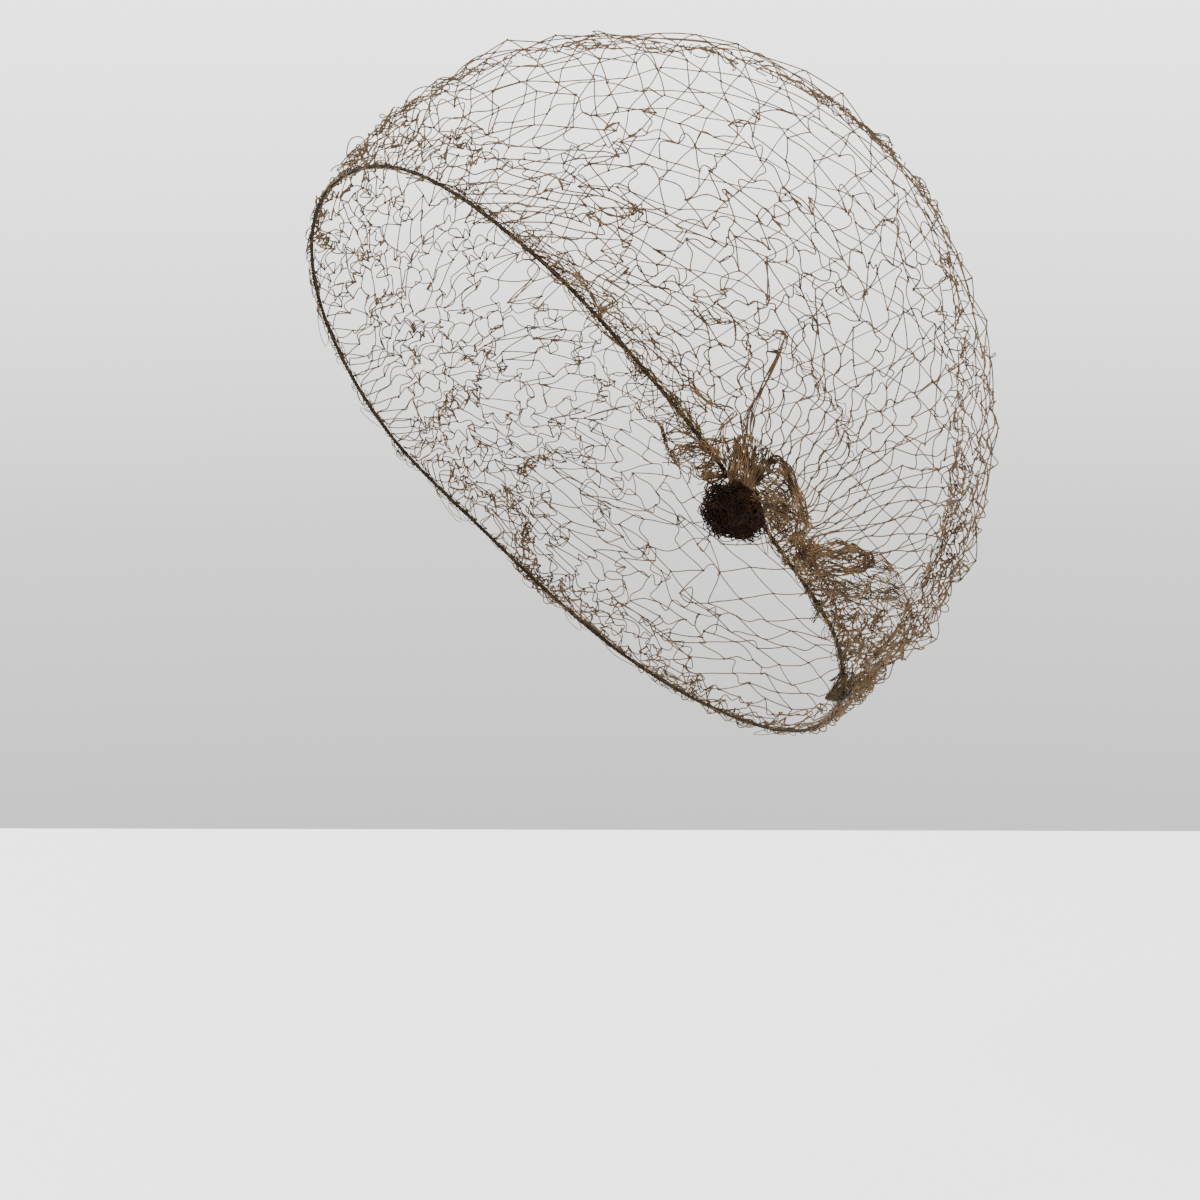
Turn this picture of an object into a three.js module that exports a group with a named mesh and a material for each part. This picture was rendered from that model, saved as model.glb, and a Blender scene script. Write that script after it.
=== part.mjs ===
// A worn hairnet: a knotted diamond net over the crown, drawn in by a thin elastic round the hairline,
// with its ends tied in a dark knot at the wearer's left temple.
// Millimetres. The origin is at the crown, where the net rests on the head. +Z is up, the wearer
// faces -Y, and the wearer's left is +X.
import * as THREE from 'three';
import { mergeVertices } from 'three/addons/utils/BufferGeometryUtils.js';

// The head that the net is fitted to, as an ellipsoid whose top is the origin.
const HEAD = { halfWidth: 76, halfLength: 94, halfHeight: 88 };
// The axis of the net's opening leans back from the vertical.
const OPENING_LEAN = 55.5;
// The radius of the flat layout that is wrapped onto the head.
const MEAN_RADIUS = 86;

// The net has the diamond layout of the real one in larger meshes, which lie lengthwise on the head.
// The hem is the least width of unbroken net along its edge.
const NET = { thickness: 1.2, lift: 0.5, meshAcross: 22, meshAlong: 38, hem: 3.5 };
// How far a gap's corners and the middles of its sides lie out from its middle, as shares of the mesh.
const GAP = { corner: 0.77, side: 0.84 };
// A mesh that the hem cuts stays open if this many of its eight outline points lie within the hem.
// Its gap is this share of what is left of it.
const CUT_MESH = { leastPoints: 5, gap: 0.7 };
// The thread-covered elastic, seen as one round cord.
const ELASTIC = { radius: 0.8, steps: 80, sides: 8 };
// The clearance between pieces that touch.
const CLEARANCE = 0.3;
// The knot sits over the elastic at this turn from the forehead's middle.
const KNOT_TURN = 80;

const COLOUR = { net: 0x8a6f54, elastic: 0x4a3c28, knot: 0x2b1b16, gather: 0x5a412f };

const radians = THREE.MathUtils.degToRad;
const degrees = THREE.MathUtils.radToDeg;

// Directions of the opening: out of the top of the cap, to the forehead, and to the wearer's left.
const lean = radians(OPENING_LEAN);
const CAP_AXIS = new THREE.Vector3(0, Math.sin(lean), Math.cos(lean));
const TO_FRONT = new THREE.Vector3(0, -Math.cos(lean), Math.sin(lean));
const TO_LEFT = new THREE.Vector3(1, 0, 0);
const HEAD_CENTRE = new THREE.Vector3(0, 0, -HEAD.halfHeight);

// The elastic's route: how far it lies from the cap's axis, at each turn from the forehead's middle.
// Both sides are alike. The turns are 30 degrees apart.
const ROUTE = [
  { turn: 0, reach: 99.8 },
  { turn: 30, reach: 102.3 },
  { turn: 60, reach: 105.1 },
  { turn: 90, reach: 105.2 },
  { turn: 120, reach: 101.2 },
  { turn: 150, reach: 99.4 },
  { turn: 180, reach: 98.3 },
];
const ROUTE_STEP = 30;

// Where the slack net stands off the head, as soft swells. They fade out between these distances
// from the elastic.
const SWELL_FADE = { none: 4, full: 34 };
const SWELLS = [
  { place: 'over the crown, left', turn: 16, reach: 34, spread: 30, height: 3.4 },
  { place: 'over the forehead', turn: -10, reach: 66, spread: 38, height: 2.2 },
  { place: 'right temple', turn: -60, reach: 70, spread: 40, height: 1.4 },
  { place: 'back, left', turn: 138, reach: 55, spread: 38, height: 1.8 },
  { place: 'back, right', turn: -135, reach: 52, spread: 38, height: 1.8 },
  { place: 'above the nape', turn: 180, reach: 78, spread: 26, height: 1.2 },
];

// The reach of the elastic at a turn, on a smooth curve through the route's rows.
function routeReach(turn) {
  const folded = Math.abs(THREE.MathUtils.euclideanModulo(turn + 180, 360) - 180);
  const at = folded / ROUTE_STEP;
  const row = Math.min(Math.floor(at), ROUTE.length - 2);
  const along = at - row;
  const reachOf = (i) => {
    const last = ROUTE.length - 1;
    const mirrored = i < 0 ? -i : i;
    return ROUTE[mirrored > last ? 2 * last - mirrored : mirrored].reach;
  };
  const [before, here, next, after] = [-1, 0, 1, 2].map((offset) => reachOf(row + offset));
  const slopeHere = (next - before) / 2;
  const slopeNext = (after - here) / 2;
  const square = along * along;
  const cube = square * along;
  return (
    (2 * cube - 3 * square + 1) * here +
    (cube - 2 * square + along) * slopeHere +
    (3 * square - 2 * cube) * next +
    (cube - square) * slopeNext
  );
}

// The direction from the head's middle at a turn and a reach, in degrees.
function direction(turn, reach) {
  const around = new THREE.Vector3()
    .addScaledVector(TO_FRONT, Math.cos(radians(turn)))
    .addScaledVector(TO_LEFT, Math.sin(radians(turn)));
  return new THREE.Vector3()
    .addScaledVector(CAP_AXIS, Math.cos(radians(reach)))
    .addScaledVector(around, Math.sin(radians(reach)));
}

// The point of the head there, raised along the surface's normal.
function onHead(turn, reach, lift) {
  const ray = direction(turn, reach);
  const x = ray.x / HEAD.halfWidth;
  const y = ray.y / HEAD.halfLength;
  const z = ray.z / HEAD.halfHeight;
  const point = ray.multiplyScalar(1 / Math.hypot(x, y, z));
  const normal = new THREE.Vector3(
    point.x / HEAD.halfWidth ** 2,
    point.y / HEAD.halfLength ** 2,
    point.z / HEAD.halfHeight ** 2,
  ).normalize();
  return point.add(HEAD_CENTRE).addScaledVector(normal, lift);
}

// The net's flat layout keeps areas true when it is wrapped onto the head.
function planRadius(reach) {
  return 2 * MEAN_RADIUS * Math.sin(radians(reach) / 2);
}

function planReach(radius) {
  return degrees(2 * Math.asin(radius / (2 * MEAN_RADIUS)));
}

function planTurn(plan) {
  return degrees(Math.atan2(plan.x, plan.y));
}

// The flat layout's outline at a turn: just inside the elastic, where the net's hem ends.
function hemRadius(turn) {
  const clear = degrees((ELASTIC.radius + CLEARANCE) / MEAN_RADIUS);
  return planRadius(routeReach(turn) - clear);
}

// How high the net stands over the head. The swells die out towards the hem.
function netLift(turn, reach) {
  const here = direction(turn, reach);
  const fromHem = radians(routeReach(turn) - reach) * MEAN_RADIUS;
  const fade = THREE.MathUtils.smoothstep(fromHem, SWELL_FADE.none, SWELL_FADE.full);
  const swell = SWELLS.reduce((sum, row) => {
    const away = here.angleTo(direction(row.turn, row.reach)) * MEAN_RADIUS;
    return sum + row.height * Math.exp(-((away / row.spread) ** 2));
  }, 0);
  return NET.lift + fade * swell;
}

// Gathers triangles over a flat layout and closes them into a solid of the given height.
class Sheet {
  constructor() {
    this.points = [];
    this.index = new Map();
    this.faces = [];
  }

  // The number of a layout point, shared by every face that uses it.
  point(x, y) {
    const key = `${Math.round(x * 1e4)} ${Math.round(y * 1e4)}`;
    if (!this.index.has(key)) {
      this.index.set(key, this.points.length);
      this.points.push({ x, y });
    }
    return this.index.get(key);
  }

  face(a, b, c) {
    if (a !== b && b !== c && c !== a) this.faces.push([a, b, c]);
  }

  quad(a, b, c, d) {
    this.face(a, b, c);
    this.face(a, c, d);
  }

  // Each layout point gets an upper and a lower place, and every open edge gets a wall.
  solid(upper, lower) {
    const count = this.points.length;
    const places = [...this.points.map(upper), ...this.points.map(lower)];
    const triangles = [];
    const open = new Map();
    for (const [a, b, c] of this.faces) {
      triangles.push(a, b, c, a + count, c + count, b + count);
      for (const [from, to] of [[a, b], [b, c], [c, a]]) {
        if (!open.delete(`${to} ${from}`)) open.set(`${from} ${to}`, [from, to]);
      }
    }
    for (const [from, to] of open.values()) {
      triangles.push(to, from, from + count, to, from + count, to + count);
    }
    return geometryOf(places, triangles);
  }
}

function geometryOf(places, triangles) {
  const geometry = new THREE.BufferGeometry();
  const numbers = places.flatMap((place) => [place.x, place.y, place.z]);
  geometry.setAttribute('position', new THREE.Float32BufferAttribute(numbers, 3));
  geometry.setIndex(triangles);
  return geometry;
}

function named(name, geometry, colour, roughness) {
  const material = new THREE.MeshStandardMaterial({ color: colour, roughness, metalness: 0 });
  const mesh = new THREE.Mesh(geometry, material);
  mesh.name = name;
  return mesh;
}

// The eight points round one mesh of the net: its corners and the middles of its sides, anticlockwise.
function meshOutline(column, row, scales) {
  const middle = { x: (column * NET.meshAcross) / 2, y: (row * NET.meshAlong) / 2 };
  const ways = [[1, 0], [0.5, 0.5], [0, 1], [-0.5, 0.5], [-1, 0], [-0.5, -0.5], [0, -1], [0.5, -0.5]];
  return ways.map(([right, front], i) => {
    const scale = i % 2 ? scales.side : scales.corner;
    return {
      x: middle.x + (right * scale * NET.meshAcross) / 2,
      y: middle.y + (front * scale * NET.meshAlong) / 2,
    };
  });
}

// How far a layout point lies inside the hem's outline.
function inside(plan) {
  return hemRadius(planTurn(plan)) - Math.hypot(plan.x, plan.y);
}

// The point where a side of a mesh crosses the hem's outline, found by halving.
const HALVINGS = 40;

function crossing(within, beyond) {
  let low = 0;
  let high = 1;
  const at = (share) => ({
    x: THREE.MathUtils.lerp(within.x, beyond.x, share),
    y: THREE.MathUtils.lerp(within.y, beyond.y, share),
  });
  for (let i = 0; i < HALVINGS; i += 1) {
    const middle = (low + high) / 2;
    if (inside(at(middle)) > 0) low = middle;
    else high = middle;
  }
  return at(low);
}

// Points along the hem's outline between two crossings, about this many degrees apart.
const HEM_STEP = 4;

function alongHem(from, to) {
  const start = planTurn(from);
  const sweep = THREE.MathUtils.euclideanModulo(planTurn(to) - start + 180, 360) - 180;
  const pieces = Math.max(1, Math.round(Math.abs(sweep) / HEM_STEP));
  return Array.from({ length: pieces - 1 }, (_, i) => {
    const turn = start + (sweep * (i + 1)) / pieces;
    return { x: hemRadius(turn) * Math.sin(radians(turn)), y: hemRadius(turn) * Math.cos(radians(turn)) };
  });
}

// The part of a mesh's outline that lies within the hem.
function clippedToHem(outline) {
  const kept = [];
  let leaves = -1;
  outline.forEach((here, i) => {
    const next = outline[(i + 1) % outline.length];
    const hereWithin = inside(here) > 0;
    const nextWithin = inside(next) > 0;
    if (hereWithin) kept.push(here);
    if (hereWithin && !nextWithin) {
      leaves = kept.length;
      kept.push(crossing(here, next));
    }
    if (!hereWithin && nextWithin) kept.push(crossing(next, here));
  });
  if (leaves < 0) return kept;
  const returns = (leaves + 1) % kept.length;
  return [...kept.slice(0, leaves + 1), ...alongHem(kept[leaves], kept[returns]), ...kept.slice(leaves + 1)];
}

// The net: open meshes all over the cap, and smaller or closed ones where the hem cuts through them.
function netCap() {
  const sheet = new Sheet();
  const widest = Math.max(...ROUTE.map((row) => planRadius(row.reach)));
  const columns = Math.ceil((2 * widest) / NET.meshAcross);
  const rows = Math.ceil((2 * widest) / NET.meshAlong);
  for (let column = -columns; column <= columns; column += 1) {
    for (let row = -rows; row <= rows; row += 1) {
      if ((column + row) % 2 !== 0) continue;
      const outline = meshOutline(column, row, { corner: 1, side: 1 });
      const within = outline.filter((point) => inside(point) > 0).length;
      if (outline.every((point) => inside(point) > NET.hem)) {
        openMesh(sheet, outline, meshOutline(column, row, GAP));
      } else if (within >= CUT_MESH.leastPoints) {
        const cut = clippedToHem(outline);
        openMesh(sheet, cut, shrunk(cut, CUT_MESH.gap));
      } else if (within > 0) {
        closedMesh(sheet, clippedToHem(outline));
      }
    }
  }
  const place = (extra) => (plan) => {
    const turn = planTurn(plan);
    const reach = planReach(Math.hypot(plan.x, plan.y));
    return onHead(turn, reach, netLift(turn, reach) + extra);
  };
  return sheet.solid(place(NET.thickness), place(0));
}

function middleOf(outline) {
  const mean = (axis) => outline.reduce((sum, point) => sum + point[axis], 0) / outline.length;
  return { x: mean('x'), y: mean('y') };
}

function shrunk(outline, share) {
  const middle = middleOf(outline);
  return outline.map((point) => ({
    x: THREE.MathUtils.lerp(middle.x, point.x, share),
    y: THREE.MathUtils.lerp(middle.y, point.y, share),
  }));
}

function openMesh(sheet, outline, gap) {
  const outer = outline.map((p) => sheet.point(p.x, p.y));
  const inner = gap.map((p) => sheet.point(p.x, p.y));
  outer.forEach((a, i) => {
    const next = (i + 1) % outer.length;
    sheet.quad(a, inner[i], inner[next], outer[next]);
  });
}

function closedMesh(sheet, outline) {
  const middle = middleOf(outline);
  const centre = sheet.point(middle.x, middle.y);
  const ring = outline.map((p) => sheet.point(p.x, p.y));
  ring.forEach((a, i) => sheet.face(ring[(i + 1) % ring.length], a, centre));
}

// The elastic: one closed loop, its underside just clear of the head.
function elasticBand() {
  const points = Array.from({ length: ELASTIC.steps }, (_, i) => {
    const turn = (360 * i) / ELASTIC.steps;
    return onHead(turn, routeReach(turn), CLEARANCE + ELASTIC.radius);
  });
  const loop = new THREE.CatmullRomCurve3(points, true, 'centripetal');
  const tube = new THREE.TubeGeometry(loop, ELASTIC.steps, ELASTIC.radius, ELASTIC.sides, true);
  tube.deleteAttribute('normal');
  tube.deleteAttribute('uv');
  return mergeVertices(tube, 1e-4);
}

// A place near the knot: millimetres back along the elastic, and inwards from it over the net.
function besideKnot(back, inward) {
  const round = MEAN_RADIUS * Math.sin(radians(routeReach(KNOT_TURN)));
  const turn = KNOT_TURN + degrees(back / round);
  return { turn, reach: routeReach(turn) - degrees(inward / MEAN_RADIUS) };
}

function nearKnot(back, inward, lift) {
  const { turn, reach } = besideKnot(back, inward);
  return onHead(turn, reach, lift);
}

// The height over the head of the top of the net, for pieces that lie on it.
const ON_NET = NET.lift + NET.thickness + CLEARANCE;

// A soft lump that lies on the head: flat below, rounded above, with a tufted outline. Its rim is a thin
// edge between these shares of its height.
const LUMP = { rings: 5, sides: 14, rimTop: 0.35, rimBottom: 0.25 };

function lump({ back, inward, length, width, height, base, tufts, tuftDepth }) {
  const { rings, sides } = LUMP;
  const sheet = new Sheet();
  const onRing = (k, i) => {
    const angle = (2 * Math.PI * i) / sides;
    return sheet.point((k / rings) * Math.cos(angle), (k / rings) * Math.sin(angle));
  };
  const centre = sheet.point(0, 0);
  for (let i = 0; i < sides; i += 1) {
    const next = (i + 1) % sides;
    sheet.face(centre, onRing(1, i), onRing(1, next));
    for (let k = 1; k < rings; k += 1) {
      sheet.quad(onRing(k, i), onRing(k + 1, i), onRing(k + 1, next), onRing(k, next));
    }
  }
  const place = (rise) => (plan) => {
    const share = Math.hypot(plan.x, plan.y);
    const tuft = 1 + tuftDepth * share * Math.sin(tufts * Math.atan2(plan.y, plan.x));
    return nearKnot(
      back + (plan.x * tuft * length) / 2,
      inward + (plan.y * tuft * width) / 2,
      base + height * rise(Math.min(share, 1)),
    );
  };
  const above = (share) => LUMP.rimTop + (1 - LUMP.rimTop) * Math.sqrt(1 - share ** 2);
  const below = (share) => LUMP.rimBottom * share ** 4;
  return sheet.solid(place(above), place(below));
}

// The knot and the bunch lie over the elastic.
const OVER_ELASTIC = CLEARANCE * 2 + 2 * ELASTIC.radius;
const KNOT = {
  back: -1.6, inward: -3.4, length: 14.5, width: 13, height: 8.5, base: OVER_ELASTIC, tufts: 5, tuftDepth: 0.06,
};
const BUNCH = {
  back: 76, inward: -1.2, length: 11, width: 5.4, height: 2.6, base: OVER_ELASTIC, tufts: 4, tuftDepth: 0.08,
};

// A strip of gathered net that lies on the cap. Each row gives the places of its near and far edges and
// its height between them. Its pleats run from edge to edge: every second one is lower by this share.
const STRIP = { across: 6, pleatsPerRow: 4, edgeShare: 0.06 };

function gather(rows, pleatDepth) {
  const sheet = new Sheet();
  const steps = (rows.length - 1) * STRIP.pleatsPerRow;
  for (let i = 0; i < steps; i += 1) {
    for (let j = 0; j < STRIP.across; j += 1) {
      const corner = (di, dj) => sheet.point(i + di, j + dj);
      sheet.quad(corner(0, 0), corner(1, 0), corner(1, 1), corner(0, 1));
    }
  }
  const place = (top) => (plan) => {
    const along = plan.x / STRIP.pleatsPerRow;
    const from = Math.min(Math.floor(along), rows.length - 2);
    const row = (column) => THREE.MathUtils.lerp(rows[from][column], rows[from + 1][column], along - from);
    const share = plan.y / STRIP.across;
    const held = THREE.MathUtils.clamp(share, STRIP.edgeShare, 1 - STRIP.edgeShare);
    const pleat = plan.x % 2 === 0 ? 1 : 1 - pleatDepth;
    return nearKnot(
      THREE.MathUtils.lerp(row('nearBack'), row('farBack'), share),
      THREE.MathUtils.lerp(row('nearIn'), row('farIn'), share),
      ON_NET + (top ? row('height') * pleat * Math.sqrt(Math.sin(Math.PI * held)) : 0),
    );
  };
  return sheet.solid(place(true), place(false));
}

// The fan opens from the knot's upper side. Its pleats run out from the knot.
const FAN = [
  { nearBack: -8.7, nearIn: 1.9, farBack: -15.0, farIn: 3.0, height: 1.6 },
  { nearBack: -7.5, nearIn: 4.0, farBack: -12.5, farIn: 8.5, height: 2.6 },
  { nearBack: -3.6, nearIn: 4.6, farBack: -6.0, farIn: 12.6, height: 3.6 },
  { nearBack: 0.5, nearIn: 4.6, farBack: 2.5, farIn: 12.8, height: 4.4 },
  { nearBack: 4.1, nearIn: 3.6, farBack: 10.0, farIn: 11.4, height: 4.8 },
  { nearBack: 5.7, nearIn: 1.9, farBack: 15.0, farIn: 6.5, height: 4.0 },
];
// The fold lies along the elastic behind the fan and stands up towards its far end.
const FOLD = [
  { nearBack: 17.0, nearIn: 1.9, farBack: 17.4, farIn: 5.6, height: 4.0 },
  { nearBack: 23.0, nearIn: 1.9, farBack: 22.0, farIn: 11.4, height: 5.0 },
  { nearBack: 31.0, nearIn: 1.9, farBack: 29.5, farIn: 15.8, height: 6.0 },
  { nearBack: 38.0, nearIn: 2.2, farBack: 38.5, farIn: 18.6, height: 5.4 },
  { nearBack: 45.0, nearIn: 2.6, farBack: 50.0, farIn: 20.0, height: 3.2 },
  { nearBack: 52.0, nearIn: 3.0, farBack: 60.0, farIn: 18.0, height: 2.0 },
];

// The twisted tuck: a thin bundle of strands from its free tip down towards the knot.
const TUCK = [
  { back: -12.8, inward: 11.8, radius: 0.7 },
  { back: -14.6, inward: 15.6, radius: 0.7 },
  { back: -16.8, inward: 20.2, radius: 0.8 },
  { back: -18.9, inward: 24.8, radius: 0.9 },
  { back: -21.8, inward: 30.8, radius: 1.0 },
];

const TUCK_SIDES = 6;

function netTuck() {
  const middles = TUCK.map((row) => {
    const { turn, reach } = besideKnot(row.back, row.inward);
    return onHead(turn, reach, netLift(turn, reach) + NET.thickness + CLEARANCE + row.radius);
  });
  const places = TUCK.flatMap((row, k) => {
    const before = middles[Math.max(0, k - 1)];
    const after = middles[Math.min(TUCK.length - 1, k + 1)];
    const along = after.clone().sub(before).normalize();
    const side = along.clone().cross(middles[k].clone().sub(HEAD_CENTRE)).normalize();
    const up = side.clone().cross(along);
    return Array.from({ length: TUCK_SIDES }, (_, i) => {
      const angle = (2 * Math.PI * i) / TUCK_SIDES;
      return middles[k].clone()
        .addScaledVector(side, row.radius * Math.cos(angle))
        .addScaledVector(up, row.radius * Math.sin(angle));
    });
  });
  const triangles = [];
  for (let k = 0; k + 1 < TUCK.length; k += 1) {
    for (let i = 0; i < TUCK_SIDES; i += 1) {
      const a = k * TUCK_SIDES + i;
      const b = k * TUCK_SIDES + ((i + 1) % TUCK_SIDES);
      triangles.push(a, b + TUCK_SIDES, b, a, a + TUCK_SIDES, b + TUCK_SIDES);
    }
  }
  const last = (TUCK.length - 1) * TUCK_SIDES;
  for (let i = 1; i + 1 < TUCK_SIDES; i += 1) {
    triangles.push(0, i, i + 1, last, last + i + 1, last + i);
  }
  return geometryOf(places, triangles);
}

const hairnet = new THREE.Group();
hairnet.add(named('net_cap', netCap(), COLOUR.net, 0.8));
hairnet.add(named('elastic_band', elasticBand(), COLOUR.elastic, 0.7));
hairnet.add(named('side_knot', lump(KNOT), COLOUR.knot, 0.9));
hairnet.add(named('nape_bunch', lump(BUNCH), COLOUR.gather, 0.9));
hairnet.add(named('knot_fan', gather(FAN, 0.4), COLOUR.gather, 0.9));
hairnet.add(named('gathered_fold', gather(FOLD, 0.35), COLOUR.gather, 0.9));
hairnet.add(named('net_tuck', netTuck(), COLOUR.gather, 0.9));

export default hairnet;
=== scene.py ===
from math import cos, pi, radians, sin, sqrt

import bpy
import numpy as np
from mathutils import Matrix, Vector


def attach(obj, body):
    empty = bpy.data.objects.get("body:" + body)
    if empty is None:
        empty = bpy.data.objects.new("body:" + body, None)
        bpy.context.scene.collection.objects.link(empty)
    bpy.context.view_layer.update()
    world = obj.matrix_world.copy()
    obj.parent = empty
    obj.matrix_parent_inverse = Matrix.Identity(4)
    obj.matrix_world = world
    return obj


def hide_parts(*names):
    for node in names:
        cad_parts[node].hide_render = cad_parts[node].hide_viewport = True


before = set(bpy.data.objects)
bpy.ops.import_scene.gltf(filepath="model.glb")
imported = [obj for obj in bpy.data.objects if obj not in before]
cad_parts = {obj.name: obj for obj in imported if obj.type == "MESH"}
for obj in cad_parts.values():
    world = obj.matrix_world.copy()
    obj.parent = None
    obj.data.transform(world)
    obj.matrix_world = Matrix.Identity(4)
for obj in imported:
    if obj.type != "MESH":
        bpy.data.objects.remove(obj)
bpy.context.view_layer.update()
MM = 0.001
TURN = 2 * pi
seeded = np.random.default_rng

# The head form
# As in the CAD model: an ellipsoid whose top is the origin, and an opening whose axis leans back. A place
# on it is a turn from the forehead's middle and a reach from the cap's axis.
HEAD = np.array([0.076, 0.094, 0.088])
HEAD_CENTRE = np.array([0, 0, -0.088])
LEAN = radians(55.5)
CAP_AXIS = np.array([0, sin(LEAN), cos(LEAN)])
TO_FRONT = np.array([0, -cos(LEAN), sin(LEAN)])
TO_LEFT = np.array([1.0, 0.0, 0.0])
MEAN_RADIUS = 0.086
# The elastic's reach at each step of turn, from the front to the back, and the side knot's turn.
ROUTE = np.array([99.8, 102.3, 105.1, 105.2, 101.2, 99.4, 98.3])
ROUTE_STEP = 30
KNOT_TURN = 80

# Low at the back the head is flatter than the form, and the net lies close to it there.
FLAT_PLACE, FLAT_SPREAD, FLAT_DEPTH, FLAT_FROM_HEM = (122, 79), 0.040, 0.003, 0.016

# Where the slack net stands off the head: turn, reach, spread and height. It grows in from the hem.
SWELLS = [
    [16, 34, 0.030, 0.0034],
    [-10, 66, 0.038, 0.0022],
    [-60, 70, 0.040, 0.0014],
    [138, 55, 0.038, 0.0018],
    [-135, 52, 0.038, 0.0018],
    [180, 78, 0.026, 0.0012],
]
SWELL_FADE = (0.004, 0.030)
WALL_LIFT = 0.0005

# How high the threads' middles stand over the head form at least.
NET_LEAST, ELASTIC_LEAST, GATHERS_LEAST = 0.0005, 0.0002, 0.0003


def catmull_rom(before, here, after, beyond, t):
    """A smooth curve's place at this share of the way from here to after."""
    bend, twist = 2 * before - 5 * here + 4 * after - beyond, 3 * here - before - 3 * after + beyond
    return 0.5 * (2 * here + (after - before) * t + bend * t**2 + twist * t**3)


def route_reach(turn):
    """The elastic's reach at a turn; both sides are alike."""
    at = np.abs((np.asarray(turn, float) + 180) % 360 - 180) / ROUTE_STEP
    last = len(ROUTE) - 1
    row = np.minimum(np.floor(at).astype(int), last - 1)
    rows = [last - np.abs(last - np.abs(row + k)) for k in (-1, 0, 1, 2)]
    return catmull_rom(*ROUTE[np.array(rows)], at - row)


def direction(turn, reach):
    """The way from the head's middle at this turn and reach."""
    turn = np.radians(np.asarray(turn, float))[..., None]
    reach = np.radians(np.asarray(reach, float))[..., None]
    around = np.cos(turn) * TO_FRONT + np.sin(turn) * TO_LEFT
    return np.cos(reach) * CAP_AXIS + np.sin(reach) * around


def unit(v):
    return v / np.maximum(np.linalg.norm(v, axis=-1, keepdims=True), 1e-12)


def normal_at(points):
    return unit((points - HEAD_CENTRE) / HEAD**2)


def dropped(points, lift):
    """The points moved straight in or out to stand at this lift over the head."""
    ray = (points - HEAD_CENTRE) / HEAD
    surface = HEAD_CENTRE + unit(ray) * HEAD
    return surface + normal_at(surface) * np.asarray(lift)[..., None]


def on_head(turn, reach, lift=0.0):
    points = HEAD_CENTRE + direction(turn, reach) * MEAN_RADIUS
    return dropped(points, np.broadcast_to(lift, points.shape[:-1]))


def from_hem(points):
    """How far in from the elastic each point lies, over the head."""
    way = unit(points - HEAD_CENTRE)
    turn = np.degrees(np.arctan2(way @ TO_LEFT, way @ TO_FRONT))
    reach = np.degrees(np.arccos(np.clip(way @ CAP_AXIS, -1, 1)))
    return np.radians(route_reach(turn) - reach) * MEAN_RADIUS


def from_knot(points):
    return np.linalg.norm(points - on_head(KNOT_TURN, route_reach(KNOT_TURN)), axis=-1)


def grown(distance, start, width):
    """0 up to the start, and 1 from a width past it."""
    return np.clip((distance - start) / width, 0, 1)


def flat_share(points):
    """How much each point lies in the flat place low at the back, 0 to 1."""
    away = np.linalg.norm(points - on_head(*FLAT_PLACE), axis=-1)
    return grown(from_hem(points), 0, FLAT_FROM_HEM) * np.exp(-((away / FLAT_SPREAD) ** 2))


def kept_off_head(curves, least):
    """Pushes out whatever lies nearer the head form than this."""
    points = curves.reshape(-1, 3)
    floor = dropped(points, least - FLAT_DEPTH * flat_share(points))
    below = ((points - floor) * normal_at(points)).sum(-1) < 0
    return np.where(below[:, None], floor, points).reshape(curves.shape)


def net_lift(points):
    """How high the net's wall stands over the head there, as in the CAD model."""
    fade = grown(from_hem(points), *SWELL_FADE)
    fade = fade * fade * (3 - 2 * fade)
    here = unit(points - HEAD_CENTRE)
    swell = np.zeros(len(points))
    for turn, reach, spread, height in SWELLS:
        away = np.arccos(np.clip(here @ direction(turn, reach), -1, 1)) * MEAN_RADIUS
        swell += height * np.exp(-((away / spread) ** 2))
    return WALL_LIFT + fade * swell


# The radius of the circle round the cap's axis on which the knot lies.
KNOT_CIRCLE = MEAN_RADIUS * sin(radians(float(route_reach(KNOT_TURN))))


def turn_back(back):
    """The turn at this many metres back from the knot along the elastic."""
    return KNOT_TURN + np.degrees(np.asarray(back, float) / KNOT_CIRCLE)


def near_knot(back, inward, lift):
    """A place by the knot: metres back along the elastic, and inwards from it over the net."""
    turn = turn_back(back)
    return on_head(turn, route_reach(turn) - np.degrees(np.asarray(inward, float) / MEAN_RADIUS), lift)


class Ripple:
    """A smooth field of random waves, about -1 to 1, the same each run."""

    def __init__(self, wavelength, seed, waves=24):
        rng = seeded(seed)
        ways = unit(rng.normal(size=(waves, 3)))
        self.waves = ways * (TURN / wavelength) * rng.uniform(0.7, 1.4, (waves, 1))
        self.phases = rng.uniform(0, TURN, waves)

    def __call__(self, points):
        return np.sin(points @ self.waves.T + self.phases).sum(-1) / sqrt(len(self.phases))


# Camera, floor and light
# The camera stands at the photograph's angle and looks a little below the head form.
AZIMUTH, ELEVATION = radians(52), radians(11)
DISTANCE, LENS, SENSOR = 0.7, 87.5, 36
AIM_ASIDE, AIM_BELOW = -0.0049, 0.0418
FLOOR_Z, BEHIND, BEFORE, HALF_WIDTH = -0.286, 0.28, 2.2, 1.6
FLOOR_COLOURS = [(0.0, (0.80, 0.81, 0.80)), (1.0, (0.84, 0.85, 0.84))]
# The wall's brightness against the height of the line of sight: darker low down, as in the photograph.
WALL = [(-0.34, 0.95), (-0.22, 1.35), (-0.05, 2.9), (1.0, 2.9)]
WALL_TINT = (0.995, 1.0, 0.985)
# Each light: its place, size, watts and colour.
LIGHTS = {
    "key": ((-0.9, -1.5, 1.3), 0.8, 70, (1, 0.98, 0.95)),
    "fill": ((1.9, -0.6, 0.6), 1.2, 20, (1, 1, 1)),
}


def turned_to(thing, aim):
    """Points a camera's or light's -Z at the aim."""
    thing.rotation_mode = "QUATERNION"
    thing.rotation_quaternion = (aim - thing.location).to_track_quat("-Z", "Y")
    bpy.context.collection.objects.link(thing)


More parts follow.
